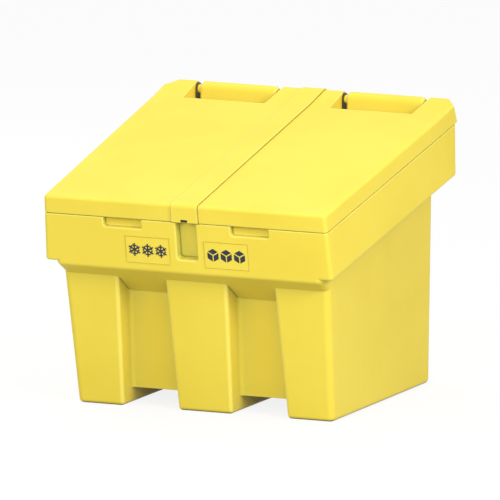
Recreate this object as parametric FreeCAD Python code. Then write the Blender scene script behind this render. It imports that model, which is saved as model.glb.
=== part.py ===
"""Grit and salt bin with a sloping mouth, two hinged lids and fork channels under the tub.

Millimetres, +Z up. The origin lies on the floor, in the middle of the outline seen from above.
The front faces -Y. The rim of the bin lies in a plane that climbs towards the rear, and many
places are given in that plane: across (x), along the slope from the front (u) and square to it (n).
"""
import FreeCAD, Part
import math
import os

from FreeCAD import Vector

# Whole bin
DEPTH = 1057.0              # front edge of the lids to the rear of the hinge barrels
RIM_WIDTH = 1006.0          # across the rim at the front
RIM_FRONT_HEIGHT = 647.0    # floor to the rim at the front
RIM_SLOPE = 12.18           # degrees, rim and lids climb towards the rear
SIDE_SPLAY = 1.17           # degrees, each side moves outwards towards the rear
WALL_FLARE = 2.5            # degrees, collar and lid skirts spread downwards
BODY_WALL = 5.0
LID_WALL = 5.0
LEAST_INNER_RADIUS = 4.5    # inner corners that would be tighter than this stay sharp

# Collar, the deep band below the rim
COLLAR_HEIGHT = 163.0
COLLAR_CORNER_RADIUS = 13.0
COLLAR_EDGE_RADIUS = 9.0
REAR_CUT_ACROSS = 45.0      # rear corners are cut off, this much across
REAR_CUT_ALONG = 65.0       # and this much along
REAR_CUT_RADIUS = 20.0

# Rim: a flat ledge that carries the lids and an upstand inside their skirts
UPSTAND_SETBACK = 12.0
UPSTAND_HEIGHT = 20.0
UPSTAND_REAR_GAP = 10.0     # to the lid wall in front of the knuckles, which swings forwards
RIM_EDGE_BEVEL = 2.5
MOUTH_CORNER_RADIUS = 23.0

# Tub below the collar
FOOT_WIDTH = 911.0          # across the tub at the floor, at the front
FOOT_FRONT_SETBACK = 169.0  # front edge of the lids to the foot of the tub
FOOT_REAR_SETBACK = 48.0
FRONT_LEAN = 9.65           # degrees, the front leans outwards going up
REAR_LEAN = 2.6             # degrees, the rear leans forwards going up
SIDE_DRAFT = 2.0            # degrees, the sides spread going up
FOOT_TAPER = 1.0            # degrees, the tub narrows towards the rear
TUB_FRONT_RADIUS = 22.0
TUB_REAR_RADIUS = 60.0
FOOT_RADIUS = 15.0

# Sloping underside between the collar and the front of the tub
NOSE_DROP = 10.0            # how far the front of the collar reaches below its sides
UNDERSLOPE = 32.3           # degrees from level
NOSE_EDGE_RADIUS = 16.0

# Two channels for the forks of a truck, and the recesses above them in the front
CHANNEL_WIDTH = 195.0
CHANNEL_HEIGHT = 52.0
CHANNEL_CENTRES = 387.0     # centre to centre
RUNNER_DRAFT = 1.8          # degrees, runners widen going up
RECESS_DEPTH = 78.0         # behind the front of the tub, at the top of the channel
RECESS_LEAN = 8.0           # degrees
RECESS_CORNER_RADIUS = 14.0
RUNNER_EDGE_RADIUS = 13.0

# Hand pulls and the lock recess under the front edge of the lids
PULL_WIDTH = 134.0
PULL_HEIGHT = 32.0
PULL_DEPTH = 36.0
PULL_OFFSET = 226.0
LOCK_WIDTH = 72.0
LOCK_HEIGHT = 127.0
LOCK_DEPTH = 34.0
POCKET_CORNER_RADIUS = 8.0
POCKET_EDGE_BEVEL = 3.5

# Label plates on the front of the collar
LABEL_WIDTH = 159.0
LABEL_HEIGHT = 93.0
LABEL_DROP = 56.0           # rim to the top edge of the label
LABEL_OFFSET = 139.5
LABEL_THICKNESS = 1.0

# Hinges
PIN_RADIUS = 14.0
PIN_HEIGHT_ABOVE_RIM = 41.0
BARREL_RADIUS = 25.0
PIN_FIT = 0.02              # pin to the knuckle and the caps
RUNNING_CLEARANCE = 0.08    # pin to the holes in the lids
KNUCKLE_GAP = 10.0          # knuckle to the sides of the lid's cut-out, where that is narrowest
KNUCKLE_END_BEVEL = 7.0
KNUCKLE_ROOT = 15.0         # how far a knuckle reaches down into the collar
CAP_RADIUS = 18.5
CAP_LENGTH = 16.0
CAP_GAP = 1.0               # cap to the lid wall it stands beside
CAP_SKIN = 3.0

# Lids
LID_HEIGHT = 60.3           # rim to the top of the lids
SEAM_GAP = 1.0              # rim to the lower edge of the lids
LID_CORNER_RADIUS = 14.0
LID_TOP_RADIUS = 10.0
LID_HEM_BEVEL = 2.0
EAR_EDGE_RADIUS = 8.0
LID_REAR_CUT_OFFSET = 11.0  # the lids' cut corners stand out this far past the collar's
LID_REAR_CUT_LEAN = 14.0    # degrees
INNER_EAR_WIDTH = 116.5     # middle of the bin to the cut-out of a lid round the knuckle
OUTER_EAR_WIDTH = 93.5      # that cut-out to the side of the rim
NOTCH_DEPTH = 136.0         # front of the cut-out to the pin
NOTCH_SPLAY = 3.5           # degrees, the cut-out widens towards the rear
BARREL_BLEND = 110.0        # the top rises to the hinge barrel over this length
CENTRE_GAP = 2.5            # between the two lids
CENTRE_WALL_LIFT = 4.0      # lids' inner edges above the upstand
STRIP_FRONT_WIDTH = 92.0    # raised strip along the meeting edge, part of the left lid
STRIP_REAR_WIDTH = 76.0
STRIP_RISE = 4.0
LATCH_SLOT_WIDTH = 25.0     # slot in the strip's lip, above the lock recess
LATCH_SLOT_HEIGHT = 12.0
LATCH_SLOT_OFFSET = -2.5
LATCH_SLOT_PAST_LIP = 5.0

BLOCK = 4.0 * (DEPTH + RIM_WIDTH)    # a block to trim, larger than the bin on every side
WASTE = BLOCK + BLOCK                # a block that takes away all that lies outside a wall

FRONT_Y = -DEPTH / 2
REAR_Y = DEPTH / 2
PIN_Y = REAR_Y - BARREL_RADIUS


def tangent(degrees):
    return math.tan(math.radians(degrees))


def sine(degrees):
    return math.sin(math.radians(degrees))


def cosine(degrees):
    return math.cos(math.radians(degrees))


RIM_FRONT_Y = FRONT_Y + LID_HEIGHT * (sine(RIM_SLOPE) - tangent(WALL_FLARE) * cosine(RIM_SLOPE))
ALONG_RIM = Vector(0, cosine(RIM_SLOPE), sine(RIM_SLOPE))
OFF_RIM = Vector(0, -sine(RIM_SLOPE), cosine(RIM_SLOPE))
RIM_CORNER = Vector(0, RIM_FRONT_Y, RIM_FRONT_HEIGHT)


def on_rim(x, along, above=0.0):
    """A point given across, along and above the plane of the rim."""
    return RIM_CORNER + Vector(x, 0, 0) + ALONG_RIM * along + OFF_RIM * above


def rim_height(y):
    return RIM_FRONT_HEIGHT + (y - RIM_FRONT_Y) * tangent(RIM_SLOPE)


PIN_Z = rim_height(PIN_Y) + PIN_HEIGHT_ABOVE_RIM / cosine(RIM_SLOPE)
PIN_CENTRE = Vector(0, PIN_Y, PIN_Z)


class Wall:
    """A flat wall: a point on it and the direction that points out of the material."""

    def __init__(self, point, outward):
        self.point = point
        self.outward = Vector(outward).normalize()

    def shifted(self, distance):
        return Wall(self.point + self.outward * distance, self.outward)

    def holds(self, point):
        return abs((point - self.point).dot(self.outward)) < 0.01


def flipped(wall):
    return Wall(wall.point, wall.outward * -1)


def wall_through(first, second, third, inside):
    outward = (second - first).cross(third - first)
    if outward.dot(inside - first) > 0:
        outward = outward * -1
    return Wall(first, outward)


def trimmed(solid, walls):
    """Cut away all that lies outside each wall."""
    for wall in walls:
        waste = Part.makeBox(WASTE, WASTE, WASTE, Vector(-WASTE / 2, -WASTE / 2, 0))
        turn = FreeCAD.Rotation(Vector(0, 0, 1), wall.outward)
        waste.Placement = FreeCAD.Placement(wall.point, turn)
        solid = solid.cut(waste)
    return solid


def enclosed(walls, inset=0.0):
    """The block between flat walls, each moved inwards by the inset."""
    block = Part.makeBox(BLOCK, BLOCK, BLOCK, Vector(-BLOCK / 2, -BLOCK / 2, -BLOCK / 2))
    return trimmed(block, [wall.shifted(-inset) for wall in walls])


def edge_middle(edge):
    return edge.valueAt((edge.FirstParameter + edge.LastParameter) / 2)


def edges_along_pair(solid, first, second):
    """Edges where two walls meet."""
    return [e for e in solid.Edges if first.holds(edge_middle(e)) and second.holds(edge_middle(e))]


def edges_along(solid, first, second, inset=0.0):
    """Edges where two walls meet once both are moved in by the inset."""
    return edges_along_pair(solid, first.shifted(-inset), second.shifted(-inset))


def rounded(solid, radius, edges):
    if radius <= 0 or not edges:
        return solid
    return solid.makeFillet(radius, edges)


def bevelled(solid, size, edges):
    if size <= 0 or not edges:
        return solid
    return solid.makeChamfer(size, edges)


def eased(solid, radius, edges, inset):
    """Rounded on the outer skin; the inner skin gets the flat that touches the same rounding."""
    if inset == 0:
        return rounded(solid, radius, edges)
    return bevelled(solid, radius_at(radius, inset) * (2 - math.sqrt(2)), edges)


def radius_at(radius, inset):
    """The radius of a corner once its walls are moved in; nothing where that is too tight."""
    if inset > 0 and radius - inset < LEAST_INNER_RADIUS:
        return 0.0
    return radius - inset


def cylinder_x(radius, x_from, x_to, centre):
    start = Vector(x_from, centre.y, centre.z)
    return Part.makeCylinder(radius, x_to - x_from, start, Vector(1, 0, 0))


# Walls shared by the collar and the lids
HALF_WIDTH = RIM_WIDTH / 2
NOTCH_WIDTH = HALF_WIDTH - INNER_EAR_WIDTH - OUTER_EAR_WIDTH
HINGE_OFFSET = INNER_EAR_WIDTH + NOTCH_WIDTH / 2    # middle of the bin to the middle of a knuckle
INSIDE = Vector(0, 0, RIM_FRONT_HEIGHT)


def rim_level(above):
    return Wall(on_rim(0, 0, above), OFF_RIM)


def rim_floor(above):
    return Wall(on_rim(0, 0, above), OFF_RIM * -1)


def skirt_side(side):
    drop = COLLAR_HEIGHT
    spread = HALF_WIDTH + DEPTH * tangent(SIDE_SPLAY)
    return wall_through(
        on_rim(side * HALF_WIDTH, 0),
        on_rim(side * spread, DEPTH),
        on_rim(side * (HALF_WIDTH + drop * tangent(WALL_FLARE)), 0, -drop),
        INSIDE,
    )


SKIRT_FRONT = Wall(on_rim(0, 0), ALONG_RIM * -cosine(WALL_FLARE) + OFF_RIM * sine(WALL_FLARE))
SKIRT_SIDES = [skirt_side(-1), skirt_side(1)]
COLLAR_REAR = Wall(Vector(0, REAR_Y, 0), Vector(0, 1, 0))


def side_x(y):
    """Half the width of the rim at a place along the bin."""
    return HALF_WIDTH + (y - RIM_FRONT_Y) / cosine(RIM_SLOPE) * tangent(SIDE_SPLAY)


def corner_cut(side, offset, lean):
    """The flat that takes off a rear corner; lean is how far it faces upwards."""
    start_y = REAR_Y - REAR_CUT_ALONG
    start = Vector(side * side_x(start_y), start_y, rim_height(start_y))
    level = Vector(side * REAR_CUT_ALONG, REAR_CUT_ACROSS, 0).normalize()
    outward = level * cosine(lean) + Vector(0, 0, sine(lean))
    return Wall(start + level * offset, outward)


COLLAR_CUTS = [corner_cut(side, 0.0, 0.0) for side in (-1, 1)]
LID_CUTS = [corner_cut(side, LID_REAR_CUT_OFFSET, LID_REAR_CUT_LEAN) for side in (-1, 1)]

# Walls of the tub
FOOT_FRONT_Y = FRONT_Y + FOOT_FRONT_SETBACK
FOOT_REAR_Y = REAR_Y - FOOT_REAR_SETBACK
TUB_FRONT = Wall(Vector(0, FOOT_FRONT_Y, 0), Vector(0, -cosine(FRONT_LEAN), -sine(FRONT_LEAN)))
TUB_REAR = Wall(Vector(0, FOOT_REAR_Y, 0), Vector(0, cosine(REAR_LEAN), sine(REAR_LEAN)))
TUB_FLOOR = Wall(Vector(0, 0, 0), Vector(0, 0, -1))


def tub_side(side):
    foot = Vector(side * FOOT_WIDTH / 2, FOOT_FRONT_Y, 0)
    back = foot + Vector(-side * DEPTH * tangent(FOOT_TAPER), DEPTH, 0)
    above = foot + Vector(side * COLLAR_HEIGHT * tangent(SIDE_DRAFT), 0, COLLAR_HEIGHT)
    return wall_through(foot, back, above, INSIDE)


TUB_SIDES = [tub_side(-1), tub_side(1)]
NOSE_LEVEL = -(COLLAR_HEIGHT + NOSE_DROP)
NOSE_TIP = on_rim(0, NOSE_LEVEL * tangent(WALL_FLARE), NOSE_LEVEL)
UNDERSIDE = Wall(NOSE_TIP, Vector(0, -sine(UNDERSLOPE), -cosine(UNDERSLOPE)))
TUB_TOP = rim_level(-COLLAR_HEIGHT / 3)    # hidden inside the collar


def channel_walls(side):
    """The two sides of a fork channel, which the recess above it shares. They face into the air."""
    centre = side * CHANNEL_CENTRES / 2
    walls = []
    for hand in (-1, 1):
        foot = Vector(centre + hand * CHANNEL_WIDTH / 2, 0, 0)
        walls.append(Wall(foot, Vector(hand * cosine(RUNNER_DRAFT), 0, sine(RUNNER_DRAFT))))
    return walls


CHANNEL_TOP = Wall(Vector(0, 0, CHANNEL_HEIGHT), Vector(0, 0, 1))
RECESS_FOOT_Y = FOOT_FRONT_Y - CHANNEL_HEIGHT * tangent(FRONT_LEAN) + RECESS_DEPTH
RECESS_BACK = Wall(
    Vector(0, RECESS_FOOT_Y, CHANNEL_HEIGHT),
    Vector(0, cosine(RECESS_LEAN), sine(RECESS_LEAN)),
)
RECESS_TOP = flipped(UNDERSIDE)


def recess_space(side, wall=0.0):
    """The air in front of the recess between two columns, grown by the wall when it is given."""
    space = enclosed(channel_walls(side) + [RECESS_BACK, RECESS_TOP], -wall)
    corners = []
    for flank in channel_walls(side):
        corners += edges_along(space, flank, RECESS_BACK, -wall)
    return rounded(space, RECESS_CORNER_RADIUS + wall, corners)


def channel_space(side, wall=0.0):
    return enclosed(channel_walls(side) + [CHANNEL_TOP], -wall)


def pocket_space(centre_x, width, height, depth, wall=0.0):
    """A pocket in the front of the collar, open to the front and to the rim."""
    walls = [
        Wall(on_rim(centre_x - width / 2, 0), Vector(-1, 0, 0)),
        Wall(on_rim(centre_x + width / 2, 0), Vector(1, 0, 0)),
        rim_floor(-height),
        flipped(SKIRT_FRONT.shifted(-depth)),
        rim_level(UPSTAND_HEIGHT + LID_HEIGHT),
    ]
    space = enclosed(walls, -wall)
    floor = walls[2]
    corners = [e for flank in walls[:2] for e in edges_along(space, flank, floor, -wall)]
    return rounded(space, POCKET_CORNER_RADIUS + wall, corners)


def pockets(wall=0.0):
    spaces = [pocket_space(0.0, LOCK_WIDTH, LOCK_HEIGHT, LOCK_DEPTH, wall)]
    for side in (-1, 1):
        spaces.append(pocket_space(side * PULL_OFFSET, PULL_WIDTH, PULL_HEIGHT, PULL_DEPTH, wall))
    return spaces


def edges_level(solid, wall, inset=0.0):
    """All edges whose ends lie on one wall."""
    level = wall.shifted(-inset)
    return [e for e in solid.Edges if all(level.holds(v.Point) for v in e.Vertexes)]


def tub_block(inset):
    """The tub with a plain flat underside, before channels and recesses are taken out."""
    block = enclosed([TUB_FRONT, TUB_REAR, TUB_FLOOR, TUB_TOP] + TUB_SIDES, inset)
    front_edges = [e for flank in TUB_SIDES for e in edges_along(block, flank, TUB_FRONT, inset)]
    block = rounded(block, radius_at(TUB_FRONT_RADIUS, inset), front_edges)
    rear_edges = [e for flank in TUB_SIDES for e in edges_along(block, flank, TUB_REAR, inset)]
    block = rounded(block, radius_at(TUB_REAR_RADIUS, inset), rear_edges)
    return eased(block, FOOT_RADIUS, edges_level(block, TUB_FLOOR, inset), inset)


def nose_block(inset):
    """The overhang of the front between the tub and the collar, with its sloping underside."""
    behind = Wall(Vector(0, FOOT_FRONT_Y, 0), Vector(0, 1, 0))
    block = enclosed([SKIRT_FRONT, UNDERSIDE, TUB_TOP, behind] + TUB_SIDES, inset)
    nose = edges_along(block, SKIRT_FRONT, UNDERSIDE, inset)
    block = rounded(block, radius_at(NOSE_EDGE_RADIUS, inset), nose)
    edges = [e for flank in TUB_SIDES for e in edges_along(block, flank, UNDERSIDE, inset)]
    return rounded(block, radius_at(TUB_FRONT_RADIUS, inset), edges)


def tub_form(inset):
    """The tub with its nose, less the recesses and fork channels, whose walls grow by the inset."""
    form = tub_block(inset).fuse(nose_block(inset))
    for side in (-1, 1):
        form = form.cut(recess_space(side, inset))
        form = form.cut(channel_space(side, inset))
    form = form.removeSplitter()
    edges = []
    for side in (-1, 1):
        for flank in channel_walls(side):
            edges += edges_along_pair(form, flank.shifted(inset), TUB_FLOOR.shifted(-inset))
    return eased(form, RUNNER_EDGE_RADIUS, edges, inset)


def collar_block(inset, top):
    """The band below the rim; top is its height above the plane of the rim."""
    bottom = rim_floor(-COLLAR_HEIGHT)
    walls = [SKIRT_FRONT, COLLAR_REAR, bottom] + SKIRT_SIDES + COLLAR_CUTS
    block = trimmed(enclosed(walls, inset), [rim_level(top)])
    corners = []
    for flank in SKIRT_SIDES:
        corners += edges_along(block, flank, SKIRT_FRONT, inset)
    block = rounded(block, radius_at(COLLAR_CORNER_RADIUS, inset), corners)
    cuts = []
    for flank, cut in zip(SKIRT_SIDES, COLLAR_CUTS):
        cuts += edges_along(block, flank, cut, inset)
        cuts += edges_along(block, cut, COLLAR_REAR, inset)
    block = rounded(block, radius_at(REAR_CUT_RADIUS, inset), cuts)
    block = rounded(block, radius_at(COLLAR_EDGE_RADIUS, inset), edges_level(block, bottom, inset))
    if inset > 0:
        return block
    return bevelled(block, RIM_EDGE_BEVEL, edges_level(block, rim_level(top)))


def mouth_block(inset, floor, top):
    """The upstand round the mouth, or the mouth itself, between two heights above the rim."""
    rear_y = PIN_Y - NOTCH_DEPTH - LID_WALL - UPSTAND_REAR_GAP + UPSTAND_SETBACK
    rear = Wall(Vector(0, rear_y, 0), Vector(0, 1, 0))
    walls = [SKIRT_FRONT, rear] + SKIRT_SIDES
    block = trimmed(enclosed(walls, inset), [rim_level(top), rim_floor(floor)])
    corners = []
    for flank in SKIRT_SIDES:
        corners += edges_along(block, flank, SKIRT_FRONT, inset)
        corners += edges_along(block, flank, rear, inset)
    return rounded(block, MOUTH_CORNER_RADIUS + UPSTAND_SETBACK - inset, corners)


def knuckle(side, inset=0.0):
    """The hinge block that stands on the rear of the rim: a barrel on a web."""
    centre = side * HINGE_OFFSET
    half = NOTCH_WIDTH / 2 - KNUCKLE_GAP - inset
    radius = BARREL_RADIUS - inset
    barrel = cylinder_x(radius, centre - half, centre + half, PIN_CENTRE)
    corner = Vector(centre - half, PIN_Y - radius, RIM_FRONT_HEIGHT)
    web = Part.makeBox(half + half, radius + radius, PIN_Z - RIM_FRONT_HEIGHT, corner)
    block = trimmed(barrel.fuse(web), [rim_floor(-KNUCKLE_ROOT)]).removeSplitter()
    ends = [Wall(Vector(centre + hand * half, 0, 0), Vector(hand, 0, 0)) for hand in (-1, 1)]
    edges = []
    for end in ends:
        on_end = [e for e in block.Edges if end.holds(edge_middle(e))]
        edges += [e for e in on_end if edge_middle(e).z > PIN_Z]
    if inset > 0:
        return block
    return bevelled(block, KNUCKLE_END_BEVEL, edges)


def bin_body():
    """A single skin: the outer form less the same form moved in by the wall."""
    outside = tub_form(0.0).fuse(collar_block(0.0, 0.0))
    outside = outside.fuse(mouth_block(UPSTAND_SETBACK, -BODY_WALL, UPSTAND_HEIGHT))
    inside = tub_form(BODY_WALL).fuse(collar_block(BODY_WALL, -BODY_WALL))
    bottom = -BODY_WALL - BODY_WALL
    brim = UPSTAND_HEIGHT + BODY_WALL
    inside = inside.fuse(mouth_block(UPSTAND_SETBACK + BODY_WALL, bottom, brim))
    for side in (-1, 1):
        outside = outside.fuse(knuckle(side))
        inside = inside.fuse(knuckle(side, BODY_WALL))
    outside = outside.removeSplitter()
    for space in pockets():
        outside = outside.cut(space)
    outside = bevelled(outside, POCKET_EDGE_BEVEL, edges_of_pockets(outside))
    for space in pockets(BODY_WALL):
        inside = inside.cut(space)
    body = outside.cut(inside)
    for side in (-1, 1):
        body = body.cut(pin_bar(side, PIN_FIT))
    return body.removeSplitter()


def edges_of_pockets(solid):
    edges = []
    for level in (-LOCK_HEIGHT, -PULL_HEIGHT):
        edges += edges_along(solid, rim_floor(level), SKIRT_FRONT)
    return edges


# From the middle of the knuckle to the inner end of a cap, and to the end of the pin inside it
NOTCH_HALF_AT_REAR = NOTCH_WIDTH / 2 + (NOTCH_DEPTH + BARREL_RADIUS) * tangent(NOTCH_SPLAY)
CAP_START = NOTCH_HALF_AT_REAR + LID_WALL / cosine(NOTCH_SPLAY) + CAP_GAP
PIN_HALF = CAP_START + CAP_LENGTH - CAP_SKIN


def pin_bar(side, clearance=0.0):
    centre = side * HINGE_OFFSET
    return cylinder_x(PIN_RADIUS + clearance, centre - PIN_HALF, centre + PIN_HALF, PIN_CENTRE)


def pin_caps(side):
    """Two push-on caps, one at each end of the pin."""
    caps = []
    for hand in (-1, 1):
        start = side * HINGE_OFFSET + hand * CAP_START
        end = start + hand * CAP_LENGTH
        cap = cylinder_x(CAP_RADIUS, min(start, end), max(start, end), PIN_CENTRE)
        caps.append(cap.cut(pin_bar(side, PIN_FIT)))
    return Part.makeCompound(caps)


# Lids: the length of the lid in the plane of the rim, and the rise to the hinge barrel
PIN_ALONG = (PIN_CENTRE - RIM_CORNER).dot(ALONG_RIM)
BLEND_REACH = math.hypot(BARREL_BLEND, LID_HEIGHT - PIN_HEIGHT_ABOVE_RIM)
BLEND_DROP = math.atan2(LID_HEIGHT - PIN_HEIGHT_ABOVE_RIM, BARREL_BLEND)
BLEND_ANGLE = math.degrees(math.asin(BARREL_RADIUS / BLEND_REACH) - BLEND_DROP)
RISE = Wall(
    on_rim(0, PIN_ALONG - BARREL_BLEND, LID_HEIGHT),
    OFF_RIM * cosine(BLEND_ANGLE) - ALONG_RIM * sine(BLEND_ANGLE),
)


def rise_start(inset):
    """Where the top begins to rise, along the rim."""
    return PIN_ALONG - BARREL_BLEND + inset * tangent(BLEND_ANGLE / 2)


def lid_profile(inset, base):
    """Outline of a lid along the bin: lip, top, rise, hinge barrel and rear edge."""
    lip = inset / cosine(WALL_FLARE)
    top = LID_HEIGHT - inset
    radius = BARREL_RADIUS - inset
    rear = max(inset, 0.0)
    under = math.sqrt(radius ** 2 - rear ** 2)
    points = [
        (base * tangent(WALL_FLARE) + lip, base),
        (top * tangent(WALL_FLARE) + lip, top),
        (rise_start(inset), top),
        (PIN_ALONG - radius * sine(BLEND_ANGLE), PIN_HEIGHT_ABOVE_RIM + radius * cosine(BLEND_ANGLE)),
        (PIN_ALONG + radius, PIN_HEIGHT_ABOVE_RIM),
        (PIN_ALONG - rear, PIN_HEIGHT_ABOVE_RIM - under),
        (PIN_ALONG - rear, base),
    ]
    corners = [on_rim(-BLOCK / 2, along, above) for along, above in points]
    edges = [Part.LineSegment(corners[i], corners[i + 1]).toShape() for i in (0, 1, 2)]
    edges.append(Part.Arc(corners[3], corners[4], corners[5]).toShape())
    edges.append(Part.LineSegment(corners[5], corners[6]).toShape())
    edges.append(Part.LineSegment(corners[6], corners[0]).toShape())
    return Part.Face(Part.Wire(edges))


def lid_corners(block, inset):
    edges = []
    for flank, cut in zip(SKIRT_SIDES, LID_CUTS):
        edges += edges_along(block, flank, SKIRT_FRONT, inset)
        edges += edges_along(block, flank, cut, inset)
    return edges


def lid_plate(inset, base):
    """Both lids in front of the hinge as one plain block; base is the height of its lower edge."""
    rear = Wall(on_rim(0, PIN_ALONG - BARREL_RADIUS), ALONG_RIM)
    top = rim_level(LID_HEIGHT)
    walls = [SKIRT_FRONT, top] + SKIRT_SIDES + LID_CUTS
    block = trimmed(enclosed(walls, inset), [rear, rim_floor(base)])
    block = rounded(block, radius_at(LID_CORNER_RADIUS, inset), lid_corners(block, inset))
    lip = edges_along(block, SKIRT_FRONT, top, inset)
    block = rounded(block, radius_at(LID_TOP_RADIUS, inset), lip)
    if inset > 0:
        return block
    hem = edges_along_pair(block, SKIRT_FRONT.shifted(-inset), rim_floor(base))
    return bevelled(block, LID_HEM_BEVEL, hem)


def lid_tail(inset, base):
    """The rear end of both lids: the top rises to the hinge barrel. Only its outer skin is rounded."""
    front = Wall(on_rim(0, rise_start(inset)), ALONG_RIM * -1)
    bar = lid_profile(inset, base).extrude(Vector(BLOCK, 0, 0))
    block = trimmed(bar, [wall.shifted(-inset) for wall in SKIRT_SIDES + LID_CUTS] + [front])
    block = rounded(block, radius_at(LID_CORNER_RADIUS, inset), lid_corners(block, inset))
    if inset != 0:
        return block
    crown = []
    hem = []
    for flank in SKIRT_SIDES:
        crown += edges_along_pair(block, flank, RISE)
        hem += edges_along_pair(block, flank, rim_floor(base))
    return bevelled(rounded(block, EAR_EDGE_RADIUS, crown), LID_HEM_BEVEL, hem)


def lid_block(inset, base):
    return lid_plate(inset, base).fuse(lid_tail(inset, base)).removeSplitter()


def notch_space(side, wall=0.0):
    """The cut-out of a lid round the knuckle."""
    centre = side * HINGE_OFFSET
    front_y = PIN_Y - NOTCH_DEPTH
    walls = [Wall(Vector(centre, front_y, PIN_Z), Vector(0, -1, 0))]
    for hand in (-1, 1):
        outward = Vector(hand * cosine(NOTCH_SPLAY), -sine(NOTCH_SPLAY), 0)
        walls.append(Wall(Vector(centre + hand * NOTCH_WIDTH / 2, front_y, PIN_Z), outward))
    return enclosed(walls, -wall)


def strip_edge(hand):
    """The long edge of the raised strip; the right one is where the lids meet."""
    front = on_rim(hand * STRIP_FRONT_WIDTH / 2, 0)
    rear = on_rim(hand * STRIP_REAR_WIDTH / 2, PIN_ALONG)
    return wall_through(front, rear, front + OFF_RIM, INSIDE + Vector(0, 0, LID_HEIGHT))


def meeting_walls(side):
    """The walls of one lid that face the other lid."""
    meeting = strip_edge(1)
    if side < 0:
        return [meeting]
    return [flipped(meeting.shifted(CENTRE_GAP))]


def latch_slot():
    walls = [
        Wall(on_rim(LATCH_SLOT_OFFSET - LATCH_SLOT_WIDTH / 2, 0), Vector(-1, 0, 0)),
        Wall(on_rim(LATCH_SLOT_OFFSET + LATCH_SLOT_WIDTH / 2, 0), Vector(1, 0, 0)),
        flipped(SKIRT_FRONT.shifted(-LID_WALL - LATCH_SLOT_PAST_LIP)),
        rim_level(LATCH_SLOT_HEIGHT),
    ]
    return enclosed(walls)


def lid(side):
    """A tray, with a wall round its notch and one along the edge that meets the other lid."""
    passage = UPSTAND_HEIGHT + CENTRE_WALL_LIFT
    meeting = meeting_walls(side)
    shell = trimmed(lid_block(0.0, SEAM_GAP), meeting)
    cavity = lid_block(LID_WALL, -UPSTAND_HEIGHT)
    hollow = trimmed(cavity, [wall.shifted(-LID_WALL) for wall in meeting])
    low = trimmed(cavity, [wall.shifted(LID_WALL) for wall in meeting] + [rim_level(passage)])
    hollow = hollow.fuse(low)
    if side < 0:
        strip_walls = [strip_edge(-1), strip_edge(1)]
        shell = shell.fuse(trimmed(lid_block(-STRIP_RISE, SEAM_GAP), strip_walls))
        raised = lid_block(LID_WALL - STRIP_RISE, -UPSTAND_HEIGHT)
        hollow = hollow.fuse(trimmed(raised, [wall.shifted(-LID_WALL) for wall in strip_walls]))
        shell = shell.cut(latch_slot())
    shell = shell.cut(notch_space(side))
    hollow = hollow.cut(notch_space(side, LID_WALL))
    return shell.cut(hollow).cut(pin_bar(side, RUNNING_CLEARANCE)).removeSplitter()


def label(side):
    """A thin plate on the front of the collar."""
    centre = side * LABEL_OFFSET
    walls = [
        Wall(on_rim(centre - LABEL_WIDTH / 2, 0), Vector(-1, 0, 0)),
        Wall(on_rim(centre + LABEL_WIDTH / 2, 0), Vector(1, 0, 0)),
        rim_level(-LABEL_DROP),
        rim_floor(-LABEL_DROP - LABEL_HEIGHT),
        SKIRT_FRONT.shifted(LABEL_THICKNESS),
        flipped(SKIRT_FRONT),
    ]
    return enclosed(walls)


if __name__ == "__main__":
    os.makedirs("parts", exist_ok=True)
    bin_body().exportStep("parts/bin_body.step")
    for side, hand in ((-1, "left"), (1, "right")):
        lid(side).exportStep("parts/" + hand + "_lid.step")
        pin_bar(side).exportStep("parts/" + hand + "_hinge_pin.step")
        pin_caps(side).exportStep("parts/" + hand + "_pin_caps.step")
        label(side).exportStep("parts/" + hand + "_label.step")
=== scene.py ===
import math

import bmesh
import bpy
from mathutils import Matrix, Vector


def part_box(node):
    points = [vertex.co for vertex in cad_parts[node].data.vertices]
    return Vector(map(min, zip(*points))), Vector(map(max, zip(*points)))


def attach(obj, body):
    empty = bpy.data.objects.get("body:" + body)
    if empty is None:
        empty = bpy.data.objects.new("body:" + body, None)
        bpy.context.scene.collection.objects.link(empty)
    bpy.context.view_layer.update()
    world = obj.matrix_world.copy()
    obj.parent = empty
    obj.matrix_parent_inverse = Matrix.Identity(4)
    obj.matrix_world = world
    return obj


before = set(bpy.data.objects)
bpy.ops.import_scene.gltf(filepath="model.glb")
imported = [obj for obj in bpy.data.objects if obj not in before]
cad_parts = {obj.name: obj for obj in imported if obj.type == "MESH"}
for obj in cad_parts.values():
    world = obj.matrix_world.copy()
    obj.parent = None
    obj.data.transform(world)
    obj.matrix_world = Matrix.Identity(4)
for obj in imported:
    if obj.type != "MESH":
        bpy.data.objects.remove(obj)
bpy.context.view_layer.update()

# Camera: a long lens, aimed at the middle of the bin, for a photograph 500 pixels wide
VIEW_AZIMUTH = 24.25
VIEW_ELEVATION = 9.72
PIXELS_PER_METRE = 307.0
LENS_PIXELS = 21000.0
PHOTO_WIDTH = 500.0
AIM = Vector((-0.0024, -0.0004, 0.4782))

# Labels: a thin outline near the edge and a row of bold signs
PRINT_THICKNESS = 0.0003
OUTLINE_INSET = 0.0015
OUTLINE_WIDTH = 0.0016
SIGN_HEIGHT = 0.046
SIGN_SPACING = 0.047

# Slope of the rim and the lids, and the front corner of the rim
RIM_SLOPE = math.radians(12.18)
OFF_RIM = Vector((0.0, -math.sin(RIM_SLOPE), math.cos(RIM_SLOPE)))
RIM_CORNER = Vector((0.0, -0.51835, 0.647))

# Hand pulls: a sloping back in each, from the front of the floor up to the back of the pocket
PULL_OFFSET = 0.226
SCOOP_WIDTH = 0.136
SCOOP_FRONT = 0.016
SCOOP_BACK = 0.0365
SCOOP_FLOOR = -0.033
SCOOP_TOP = -0.002
SCOOP_LEAN = 0.008
SCOOP_DIP = 0.002

# Hinges: a dark lug on the rim at each side of a knuckle, round the pin; its darkness is painted shade
# for the gap there
LUG_RADIUS = 0.020
LUG_THICKNESS = 0.003
LUG_TO_MIDDLE = 0.1501
PIN_ABOVE_RIM = 0.041
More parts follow.
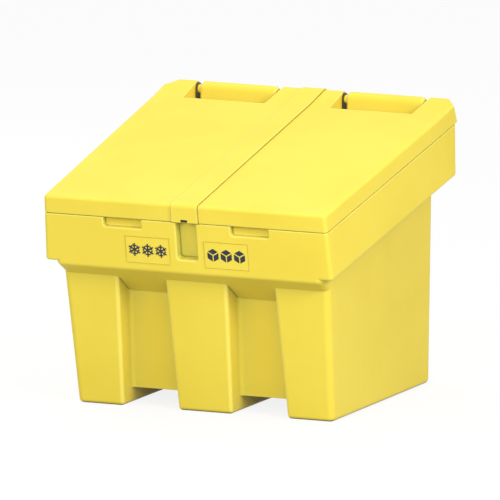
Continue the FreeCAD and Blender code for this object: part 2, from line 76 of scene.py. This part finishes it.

# Keeper plate behind the slot in the lip of the strip; its darkness is painted shade for the inside of
# the slot
KEEPER_CENTRE = Vector((-0.0025, -0.51148, 0.65522))
KEEPER_SIZE = Vector((0.034, 0.0012, 0.013))

# Lap of the strip over the meeting edge, nearly as wide as the gap between the lids, and how far
# behind the foremost part of the meeting wall its faces still count as part of it
LAP_WIDTH = 0.0019
MEETING_WALL_DEPTH = 0.0105

# Where the plastic's tone changes: painted shade in hollows and corners, a painted highlight along the
# outer edges, and painted shade in the seams
HOLLOW_REACH = 0.10
EDGE_HIGHLIGHT_WIDTH = 0.0045
EDGE_HIGHLIGHT_SHARE = 0.4
SEAM_REACH = 0.008
SOFT_EDGE_RADIUS = 0.004

# Colours
YELLOW = (0.88, 0.70, 0.081)
YELLOW_PALE = (0.905, 0.725, 0.088)
YELLOW_DEEP = (0.845, 0.665, 0.072)
# Painted shade in hollows and corners
SHADE_YELLOW = (0.66, 0.61, 0.12)
# Painted highlight along the outer edges
EDGE_HIGHLIGHT_YELLOW = (0.97, 0.90, 0.26)
# Painted shade in the seams between parts
SEAM_SHADE_OLIVE = (0.20, 0.165, 0.035)
SHEEN_YELLOW = (1.0, 0.9, 0.3)
OUTLINE_OLIVE = (0.50, 0.42, 0.06)
PRINT_NAVY = (0.035, 0.04, 0.06)
# Dark plastic as painted shade for the gaps beside the hinge knuckles and inside the latch slot
LUG_SHADE_BROWN = (0.09, 0.075, 0.035)
LUG_SHADE_BROWN_DEEP = (0.035, 0.03, 0.018)
CAP_BLACK = (0.06, 0.06, 0.065)
CAP_BLACK_DEEP = (0.03, 0.03, 0.032)


# Materials

class NodeTree:
    """A short way to write a material's nodes."""

    def __init__(self, name):
        self.material = bpy.data.materials.new(name)
        self.material.use_nodes = True
        self.nodes = self.material.node_tree.nodes
        self.links = self.material.node_tree.links
        self.nodes.clear()
        self.output = self.add("ShaderNodeOutputMaterial")
        self.place = self.add("ShaderNodeTexCoord").outputs["Object"]

    def add(self, kind, **values):
        node = self.nodes.new(kind)
        for key, value in values.items():
            setattr(node, key, value)
        return node

    def join(self, source, target):
        self.links.new(source, target)

    def noise(self, scale, detail, roughness=0.5, stretch=(1, 1, 1)):
        """Cloudy noise fixed to the piece, its scale in clouds per metre."""
        mapping = self.add("ShaderNodeMapping")
        mapping.inputs["Scale"].default_value = stretch
        self.join(self.place, mapping.inputs["Vector"])
        noise = self.add("ShaderNodeTexNoise")
        noise.inputs["Scale"].default_value = scale
        noise.inputs["Detail"].default_value = detail
        noise.inputs["Roughness"].default_value = roughness
        self.join(mapping.outputs["Vector"], noise.inputs["Vector"])
        return noise.outputs["Fac"]

    def ramp(self, value, stops):
        """Colours along a value, each given with its place from 0 to 1."""
        ramp = self.add("ShaderNodeValToRGB")
        while len(ramp.color_ramp.elements) < len(stops):
            ramp.color_ramp.elements.new(0.5)
        for element, (place, colour) in zip(ramp.color_ramp.elements, stops):
            element.position = place
            element.color = (*colour, 1.0)
        self.join(value, ramp.inputs["Fac"])
        return ramp.outputs["Color"]

    def span(self, value, low, high, to_low, to_high):
        """Carry a value from low to high over to the range from to_low to to_high."""
        mapped = self.add("ShaderNodeMapRange")
        ends = {"From Min": low, "From Max": high, "To Min": to_low, "To Max": to_high}
        for key, number in ends.items():
            mapped.inputs[key].default_value = number
        self.join(value, mapped.inputs["Value"])
        return mapped.outputs["Result"]

    def blend(self, factor, first, second):
        """From the first colour, a socket, to the second, a plain colour."""
        mix = self.add("ShaderNodeMix", data_type="RGBA")
        self.join(factor, mix.inputs[0])
        self.join(first, mix.inputs[6])
        mix.inputs[7].default_value = (*second, 1.0)
        return mix.outputs[2]

    def bump(self, height, strength, distance, normal=None):
        bump = self.add("ShaderNodeBump")
        bump.inputs["Strength"].default_value = strength
        bump.inputs["Distance"].default_value = distance
        self.join(height, bump.inputs["Height"])
        if normal is not None:
            self.join(normal, bump.inputs["Normal"])
        return bump.outputs["Normal"]

    def softened(self, radius):
        """The surface's direction with its edges rounded off by this radius."""
        soft = self.add("ShaderNodeBevel", samples=6)
        soft.inputs["Radius"].default_value = radius
        return soft.outputs["Normal"]

    def shade(self, reach):
        """0 in open places, rising to 1 deep in the piece's own corners and recesses."""
        hollow = self.add("ShaderNodeAmbientOcclusion", only_local=True, samples=8)
        hollow.inputs["Distance"].default_value = reach
        return self.span(hollow.outputs["AO"], 0.95, 0.35, 0.0, 1.0)

    def seams(self, reach):
        """1 where another piece or a fold is closer than the reach, as in the line under a lid."""
        close = self.add("ShaderNodeAmbientOcclusion", samples=12)
        close.inputs["Distance"].default_value = reach
        return self.span(close.outputs["AO"], 0.8, 0.4, 0.0, 1.0)

    def edges(self, width):
        """1 along the piece's outer edges and corners, 0 on open faces; narrower than its walls."""
        near = self.add("ShaderNodeAmbientOcclusion", only_local=True, inside=True, samples=16)
        near.inputs["Distance"].default_value = width
        return self.span(near.outputs["AO"], 0.99, 0.85, 0.0, 1.0)

    def finish(self, colour, roughness, normal, gloss, sheen=(1.0, 1.0, 1.0)):
        """Close the material, with its gloss and the tint of its reflections."""
        shader = self.add("ShaderNodeBsdfPrincipled")
        shader.inputs["Specular IOR Level"].default_value = gloss
        shader.inputs["Specular Tint"].default_value = (*sheen, 1.0)
        self.join(colour, shader.inputs["Base Color"])
        self.join(roughness, shader.inputs["Roughness"])
        self.join(normal, shader.inputs["Normal"])
        self.join(shader.outputs["BSDF"], self.output.inputs["Surface"])
        return self.material


def moulded_plastic(name, edge_highlights=True):
    """Yellow polyethylene from a rotating mould: satin, faintly mottled, with painted shade in its
    hollows and seams and a painted highlight along its outer edges.
    """
    tree = NodeTree(name)
    cloud = tree.noise(3.0, 3.0)
    mottle = tree.noise(38.0, 4.0, 0.6)
    tone = tree.ramp(cloud, [(0.3, YELLOW_DEEP), (0.5, YELLOW), (0.72, YELLOW_PALE)])
    tone = tree.blend(tree.span(mottle, 0.35, 0.65, 0.0, 0.12), tone, YELLOW_DEEP)
    # Painted shade: a duller yellow deep in the piece's own hollows and corners
    tone = tree.blend(tree.shade(HOLLOW_REACH), tone, SHADE_YELLOW)
    # Painted highlight: a paler yellow along the outer edges
    if edge_highlights:
        wear_and_edge_highlight = tree.span(tree.edges(EDGE_HIGHLIGHT_WIDTH), 0.0, 1.0, 0.0, EDGE_HIGHLIGHT_SHARE)
        tone = tree.blend(wear_and_edge_highlight, tone, EDGE_HIGHLIGHT_YELLOW)
    # Painted shade: dark olive where another piece is close, as in the seam under a lid
    tone = tree.blend(tree.seams(SEAM_REACH), tone, SEAM_SHADE_OLIVE)
    normal = tree.bump(tree.noise(9.0, 2.0, 0.4), 0.12, 0.01, tree.softened(SOFT_EDGE_RADIUS))
    normal = tree.bump(tree.noise(420.0, 2.0, 0.45), 0.10, 0.0012, normal)
    return tree.finish(tone, tree.span(mottle, 0.3, 0.7, 0.34, 0.42), normal, 0.08, SHEEN_YELLOW)


def label_film():
    """A thin glossy film in the yellow of the bin."""
    tree = NodeTree("label_film")
    haze = tree.noise(22.0, 3.0)
    tone = tree.ramp(haze, [(0.3, YELLOW), (0.7, YELLOW_PALE)])
    normal = tree.bump(tree.noise(300.0, 2.0), 0.05, 0.0005)
    return tree.finish(tone, tree.span(haze, 0.3, 0.7, 0.3, 0.4), normal, 0.16, SHEEN_YELLOW)


def printed(name, colour):
    """Screen ink, a little scuffed in places."""
    tree = NodeTree(name)
    grain = tree.noise(700.0, 2.0)
    wear_and_edge_highlight = tuple(0.75 * part for part in colour)
    tone = tree.ramp(tree.noise(60.0, 3.0), [(0.3, wear_and_edge_highlight), (0.7, colour)])
    normal = tree.bump(grain, 0.04, 0.0003)
    return tree.finish(tone, tree.span(grain, 0.3, 0.7, 0.34, 0.48), normal, 0.25)


def turned_plastic(name, tone, deep, roughness):
    """Turned or pressed plastic, smoother than the moulded shells, with fine rings round its axis."""
    tree = NodeTree(name)
    cloud = tree.noise(25.0, 2.0)
    colour = tree.ramp(cloud, [(0.3, deep), (0.7, tone)])
    normal = tree.bump(tree.noise(260.0, 2.0, 0.5, (6.0, 1.0, 1.0)), 0.08, 0.0005)
    dull = tree.span(cloud, 0.3, 0.7, roughness - 0.05, roughness + 0.05)
    return tree.finish(colour, dull, normal, 0.4)


def dress(node, material):
    """Give a moulded solid its material."""
    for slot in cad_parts[node].material_slots:
        slot.material = material


shell_plastic = moulded_plastic("moulded_shell")
lid_plastic = moulded_plastic("moulded_lid")
lap_plastic = moulded_plastic("moulded_lap", edge_highlights=False)
film = label_film()
sign_ink = printed("sign_ink", PRINT_NAVY)
outline_ink = printed("outline_ink", OUTLINE_OLIVE)
# Dark plastic for the hinge lugs and the keeper plate: painted shade for the gaps they fill
lug_shade_plastic = turned_plastic("lug_shade_plastic", LUG_SHADE_BROWN, LUG_SHADE_BROWN_DEEP, 0.55)
dress("bin_body", shell_plastic)
for hand in ("left", "right"):
    dress(hand + "_lid", lid_plastic)
    dress(hand + "_label", film)
    dress(hand + "_hinge_pin", turned_plastic(hand + "_pin_plastic", YELLOW_PALE, YELLOW, 0.3))
    dress(hand + "_pin_caps", turned_plastic(hand + "_cap_plastic", CAP_BLACK, CAP_BLACK_DEEP, 0.35))


# Pieces too thin or small for the moulded solids

def make_piece(name, mesh, material, body):
    """Close a mesh with its faces outwards and let it ride on a body."""
    bmesh.ops.remove_doubles(mesh, verts=mesh.verts[:], dist=0.00001)
    bmesh.ops.recalc_face_normals(mesh, faces=mesh.faces[:])
    data = bpy.data.meshes.new(name)
    mesh.to_mesh(data)
    mesh.free()
    data.materials.append(material)
    piece = bpy.data.objects.new(name, data)
    bpy.context.scene.collection.objects.link(piece)
    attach(piece, body)
    return piece


def on_label(node):
    """From a flat drawing to the leaning face of a label, with its width and height."""
    low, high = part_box(node)
    lean = Vector((0.0, low.y - high.y, high.z - low.z))
    up = lean.normalized()
    across = Vector((1.0, 0.0, 0.0))
    outward = across.cross(up)
    corners = [Vector(vert.co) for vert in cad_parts[node].data.vertices]
    middle = sum(corners, Vector()) / len(corners)
    reach = max((corner - middle).dot(outward) for corner in corners)
    heights = [(corner - middle).dot(up) for corner in corners]
    turn = Matrix((across, up, outward)).transposed().to_4x4()
    place = Matrix.Translation(middle + outward * (reach + PRINT_THICKNESS / 2)) @ turn
    return place, high.x - low.x, max(heights) - min(heights)


def push_out(mesh, edge, away, distance):
    """Extrude one edge in its plane and return the new edge."""
    made = bmesh.ops.extrude_edge_only(mesh, edges=[edge])["geom"]
    fresh = [part for part in made if isinstance(part, bmesh.types.BMVert)]
    bmesh.ops.translate(mesh, verts=fresh, vec=away * distance)
    edges = [part for part in made if isinstance(part, bmesh.types.BMEdge)]
    return next(edge for edge in edges if set(edge.verts) == set(fresh))


def midpoint(edge):
    """The middle of an edge."""
    return (edge.verts[0].co + edge.verts[1].co) / 2


def snow_star(mesh, middle, size):
    """A six-armed star with two barbs on each arm, grown outwards from a hexagon."""
    upright = Matrix.Translation(middle) @ Matrix.Rotation(math.radians(30), 4, "Z")
    hub = bmesh.ops.create_circle(mesh, cap_ends=True, segments=6, radius=size * 0.11, matrix=upright)
    for edge in list({edge for vert in hub["verts"] for edge in vert.link_edges}):
        away = (midpoint(edge) - middle).normalized()
        inner = push_out(mesh, edge, away, size * 0.13)
        inner_ends = set(inner.verts)
        outer = push_out(mesh, inner, away, size * 0.105)
        flanks = [
            side for vert in outer.verts for side in vert.link_edges
            if side.is_boundary and set(side.verts) & inner_ends
        ]
        for side in flanks:
            offset = midpoint(side) - middle
            out = (offset - away * offset.dot(away)).normalized()
            push_out(mesh, side, (out * 0.87 + away * 0.5).normalized(), size * 0.12)
        push_out(mesh, outer, away, size * 0.155)


def salt_crystal(mesh, middle, size):
    """A cube seen from its corner: three rhombs with a gap between them."""
    for turn in (0, 120, 240):
        spin = Matrix.Rotation(math.radians(turn), 4, "Z")
        rhomb = Matrix.Diagonal((math.sqrt(3.0) / 2, 0.5, 1.0, 1.0))
        place = Matrix.Translation(middle) @ spin @ Matrix.Translation((0.0, size * 0.27, 0.0)) @ rhomb
        bmesh.ops.create_circle(mesh, cap_ends=True, segments=4, radius=size * 0.44, matrix=place)


def sign_row(name, node, draw):
    """Three bold signs in a row on a label."""
    mesh = bmesh.new()
    for step in (-1, 0, 1):
        draw(mesh, Vector((step * SIGN_SPACING, 0.0, 0.0)), SIGN_HEIGHT)
    bmesh.ops.recalc_face_normals(mesh, faces=mesh.faces[:])
    bmesh.ops.solidify(mesh, geom=mesh.faces[:], thickness=PRINT_THICKNESS)
    bmesh.ops.transform(mesh, matrix=on_label(node)[0], verts=mesh.verts[:])
    make_piece(name, mesh, sign_ink, "bin")


def label_outline(name, node):
    """A thin line printed round a label, close to its edge."""
    place, width, height = on_label(node)
    mesh = bmesh.new()
    bmesh.ops.create_grid(mesh, x_segments=1, y_segments=1, size=0.5)
    outer = (width - 2 * OUTLINE_INSET, height - 2 * OUTLINE_INSET, 1.0)
    bmesh.ops.scale(mesh, verts=mesh.verts[:], vec=outer)
    bmesh.ops.inset_region(mesh, faces=mesh.faces[:], thickness=OUTLINE_WIDTH, use_boundary=True)
    inside = [face for face in mesh.faces if all(not edge.is_boundary for edge in face.edges)]
    bmesh.ops.delete(mesh, geom=inside, context="FACES")
    bmesh.ops.solidify(mesh, geom=mesh.faces[:], thickness=PRINT_THICKNESS)
    bmesh.ops.transform(mesh, matrix=place, verts=mesh.verts[:])
    make_piece(name, mesh, outline_ink, "bin")


def hinge_shade_lugs(name, node):
    """Two dark plates that stand on the rim and hold a pin, one at each side of its knuckle; their
    darkness is painted shade for the gaps there.
    """
    low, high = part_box(node)
    middle = (low + high) / 2
    mesh = bmesh.new()
    across = Matrix.Rotation(math.radians(90), 4, "Y")
    bmesh.ops.create_circle(mesh, cap_ends=True, segments=48, radius=LUG_RADIUS, matrix=across)
    foot = [vert for vert in mesh.verts if vert.co.z < -0.001]
    bmesh.ops.translate(mesh, verts=foot, vec=(0.0, 0.0, -2 * LUG_RADIUS))
    bmesh.ops.bisect_plane(
        mesh, geom=mesh.verts[:] + mesh.edges[:] + mesh.faces[:], dist=0.00001,
        plane_co=-OFF_RIM * PIN_ABOVE_RIM, plane_no=-OFF_RIM, clear_outer=True,
    )
    bmesh.ops.solidify(mesh, geom=mesh.faces[:], thickness=LUG_THICKNESS)
    rims = [edge for edge in mesh.edges if abs(edge.verts[0].co.x - edge.verts[1].co.x) < 0.0001]
    bmesh.ops.bevel(
        mesh, geom=rims, offset=0.0006, offset_type="OFFSET", segments=2, profile=0.5,
        affect="EDGES", material=-1,
    )
    centre_x = sum((vert.co.x for vert in mesh.verts), 0.0) / len(mesh.verts)
    to_left = middle - Vector((centre_x + LUG_TO_MIDDLE, 0.0, 0.0))
    bmesh.ops.translate(mesh, verts=mesh.verts[:], vec=to_left)
    twin = bmesh.ops.duplicate(mesh, geom=mesh.verts[:] + mesh.edges[:] + mesh.faces[:])["geom"]
    moved = [part for part in twin if isinstance(part, bmesh.types.BMVert)]
    bmesh.ops.translate(mesh, verts=moved, vec=(2 * LUG_TO_MIDDLE, 0.0, 0.0))
    make_piece(name, mesh, lug_shade_plastic, "bin")


def pull_scoop(name, centre_x):
    """The sloping, slightly hollow back of a hand pull, let into the pocket of the collar."""
    mesh = bmesh.new()
    bmesh.ops.create_cube(mesh, size=1.0)
    size = Vector((SCOOP_WIDTH, SCOOP_BACK - SCOOP_FRONT, SCOOP_TOP - SCOOP_FLOOR))
    middle = Vector((0.0, (SCOOP_BACK + SCOOP_FRONT) / 2, (SCOOP_TOP + SCOOP_FLOOR) / 2))
    bmesh.ops.scale(mesh, verts=mesh.verts[:], vec=size)
    bmesh.ops.translate(mesh, verts=mesh.verts[:], vec=middle)
    front = next(face for face in mesh.faces if face.normal.y < -0.9)
    top = [vert for vert in front.verts if vert.co.z > middle.z]
    bmesh.ops.translate(mesh, verts=top, vec=(0.0, SCOOP_LEAN, 0.0))
    flanks = [edge for edge in front.edges if len(set(edge.verts) & set(top)) == 1]
    cut = bmesh.ops.subdivide_edges(mesh, edges=flanks, cuts=7, use_grid_fill=True)["geom_inner"]
    for vert in (part for part in cut if isinstance(part, bmesh.types.BMVert)):
        rise = (vert.co.z - SCOOP_FLOOR) / size.z
        bmesh.ops.translate(mesh, verts=[vert], vec=(0.0, 4 * SCOOP_DIP * rise * (1 - rise), 0.0))
    bmesh.ops.rotate(mesh, verts=mesh.verts[:], matrix=Matrix.Rotation(RIM_SLOPE, 3, "X"))
    bmesh.ops.translate(mesh, verts=mesh.verts[:], vec=RIM_CORNER + Vector((centre_x, 0.0, 0.0)))
    make_piece(name, mesh, shell_plastic, "bin")


def keeper_shade_plate():
    """The dark plate on the upstand, seen through the slot in the lip of the strip; its darkness is
    painted shade for the inside of the slot.
    """
    mesh = bmesh.new()
    bmesh.ops.create_cube(mesh, size=1.0)
    bmesh.ops.scale(mesh, verts=mesh.verts[:], vec=KEEPER_SIZE)
    bmesh.ops.bevel(
        mesh, geom=mesh.edges[:], offset=0.0004, offset_type="OFFSET", segments=2, profile=0.5,
        affect="EDGES", material=-1,
    )
    bmesh.ops.rotate(mesh, verts=mesh.verts[:], matrix=Matrix.Rotation(RIM_SLOPE, 3, "X"))
    bmesh.ops.translate(mesh, verts=mesh.verts[:], vec=KEEPER_CENTRE)
    # Painted shade: dark plastic for the inside of the latch slot
    make_piece("latch_keeper_shade_plate", mesh, lug_shade_plastic, "bin")


def strip_lap():
    """The lip of the strip over the gap, grown from the left lid's wall at the meeting edge."""
    mesh = bmesh.new()
    mesh.from_mesh(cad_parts["left_lid"].data)
    bmesh.ops.remove_doubles(mesh, verts=mesh.verts[:], dist=0.00001)
    high = max(vert.co.x for vert in mesh.verts)
    others = [
        face for face in mesh.faces
        if face.normal.x < 0.9 or max(vert.co.x for vert in face.verts) < high - MEETING_WALL_DEPTH
    ]
    bmesh.ops.delete(mesh, geom=others, context="FACES")
    grown = bmesh.ops.extrude_face_region(mesh, geom=mesh.faces[:])["geom"]
    moved = [part for part in grown if isinstance(part, bmesh.types.BMVert)]
    bmesh.ops.translate(mesh, verts=moved, vec=(LAP_WIDTH, 0.0, 0.0))
    make_piece("strip_lap", mesh, lap_plastic, "left_lid")


sign_row("left_label_stars", "left_label", snow_star)
sign_row("right_label_crystals", "right_label", salt_crystal)
for hand in ("left", "right"):
    label_outline(hand + "_label_outline", hand + "_label")
    hinge_shade_lugs(hand + "_hinge_shade_lugs", hand + "_hinge_pin")
pull_scoop("left_pull_scoop", -PULL_OFFSET)
pull_scoop("right_pull_scoop", PULL_OFFSET)
keeper_shade_plate()
strip_lap()


# Floor, light and camera

def background_rays(tree_add, join):
    """1 for what the camera, a reflection or a clear body shows of the background."""
    path = tree_add("ShaderNodeLightPath")
    total = path.outputs["Is Camera Ray"]
    for ray in ("Is Glossy Ray", "Is Transmission Ray"):
        larger = tree_add("ShaderNodeMath")
        larger.operation = "MAXIMUM"
        join(total, larger.inputs[0])
        join(path.outputs[ray], larger.inputs[1])
        total = larger.outputs["Value"]
    return total


def pale_floor():
    """A plain floor that shows nearly white and keeps the bin's shadow, and gives back a soft light."""
    mesh = bmesh.new()
    bmesh.ops.create_grid(mesh, x_segments=1, y_segments=1, size=60.0)
    data = bpy.data.meshes.new("floor")
    mesh.to_mesh(data)
    mesh.free()
    floor = bpy.data.objects.new("floor", data)
    bpy.context.scene.collection.objects.link(floor)
    tree = NodeTree("pale_floor")
    seen = background_rays(tree.add, tree.join)
    matt = tree.add("ShaderNodeBsdfDiffuse")
    matt.inputs["Color"].default_value = (0.4, 0.4, 0.4, 1.0)
    pale = tree.add("ShaderNodeBsdfDiffuse")
    pale.inputs["Color"].default_value = (0.9, 0.9, 0.9, 1.0)
    glow = tree.add("ShaderNodeEmission")
    glow.inputs["Strength"].default_value = 1.0
    white = tree.add("ShaderNodeMixShader")
    white.inputs["Fac"].default_value = 0.86
    tree.join(pale.outputs["BSDF"], white.inputs[1])
    tree.join(glow.outputs["Emission"], white.inputs[2])
    shown = tree.add("ShaderNodeMixShader")
    tree.join(seen, shown.inputs["Fac"])
    tree.join(matt.outputs["BSDF"], shown.inputs[1])
    tree.join(white.outputs["Shader"], shown.inputs[2])
    tree.join(shown.outputs["Shader"], tree.output.inputs["Surface"])
    floor.data.materials.append(tree.material)


def soft_world(strength):
    """An even light from all round, in front of a white background."""
    world = bpy.data.worlds.new("soft_light")
    bpy.context.scene.world = world
    world.use_nodes = True
    nodes = world.node_tree.nodes
    links = world.node_tree.links
    nodes.clear()
    output = nodes.new("ShaderNodeOutputWorld")
    light = nodes.new("ShaderNodeBackground")
    light.inputs["Color"].default_value = (1.0, 1.0, 1.0, 1.0)
    light.inputs["Strength"].default_value = strength
    white = nodes.new("ShaderNodeBackground")
    white.inputs["Color"].default_value = (1.0, 1.0, 1.0, 1.0)
    white.inputs["Strength"].default_value = 1.0
    mix = nodes.new("ShaderNodeMixShader")
    links.new(background_rays(nodes.new, links.new), mix.inputs["Fac"])
    links.new(light.outputs["Background"], mix.inputs[1])
    links.new(white.outputs["Background"], mix.inputs[2])
    links.new(mix.outputs["Shader"], output.inputs["Surface"])


def soft_lamp(name, place, aim_height, size, power):
    """A round lamp turned towards the middle of the bin, at a height above the floor."""
    data = bpy.data.lights.new(name, "AREA")
    data.shape = "DISK"
    data.size = size
    data.energy = power
    lamp = bpy.data.objects.new(name, data)
    bpy.context.scene.collection.objects.link(lamp)
    lamp.location = place
    aim = Vector((0.0, 0.0, aim_height)) - Vector(place)
    lamp.rotation_euler = aim.to_track_quat("-Z", "Y").to_euler()


def photo_camera():
    """The camera of the photograph."""
    azimuth = math.radians(VIEW_AZIMUTH)
    elevation = math.radians(VIEW_ELEVATION)
    away = Vector((
        math.sin(azimuth) * math.cos(elevation),
        -math.cos(azimuth) * math.cos(elevation),
        math.sin(elevation),
    ))
    data = bpy.data.cameras.new("photo_camera")
    data.sensor_width = 36.0
    data.lens = LENS_PIXELS / PHOTO_WIDTH * data.sensor_width
    data.clip_start = 1.0
    data.clip_end = 1000.0
    camera = bpy.data.objects.new("photo_camera", data)
    bpy.context.scene.collection.objects.link(camera)
    camera.location = AIM + away * (LENS_PIXELS / PIXELS_PER_METRE)
    camera.rotation_euler = (-away).to_track_quat("-Z", "Y").to_euler()
    bpy.context.scene.camera = camera


pale_floor()
soft_world(0.82)
soft_lamp("side_lamp", (4.71, -2.72, 2.99), 0.45, 1.6, 140.0)
soft_lamp("front_lamp", (0.98, -5.55, 2.50), 0.45, 1.6, 100.0)
soft_lamp("overhead_lamp", (-1.6, 1.2, 4.15), 0.7, 0.35, 30.0)
soft_lamp("rear_lamp", (-4.9, 2.9, 1.1), 0.45, 1.6, 75.0)
photo_camera()
bpy.context.scene.view_settings.view_transform = "Standard"
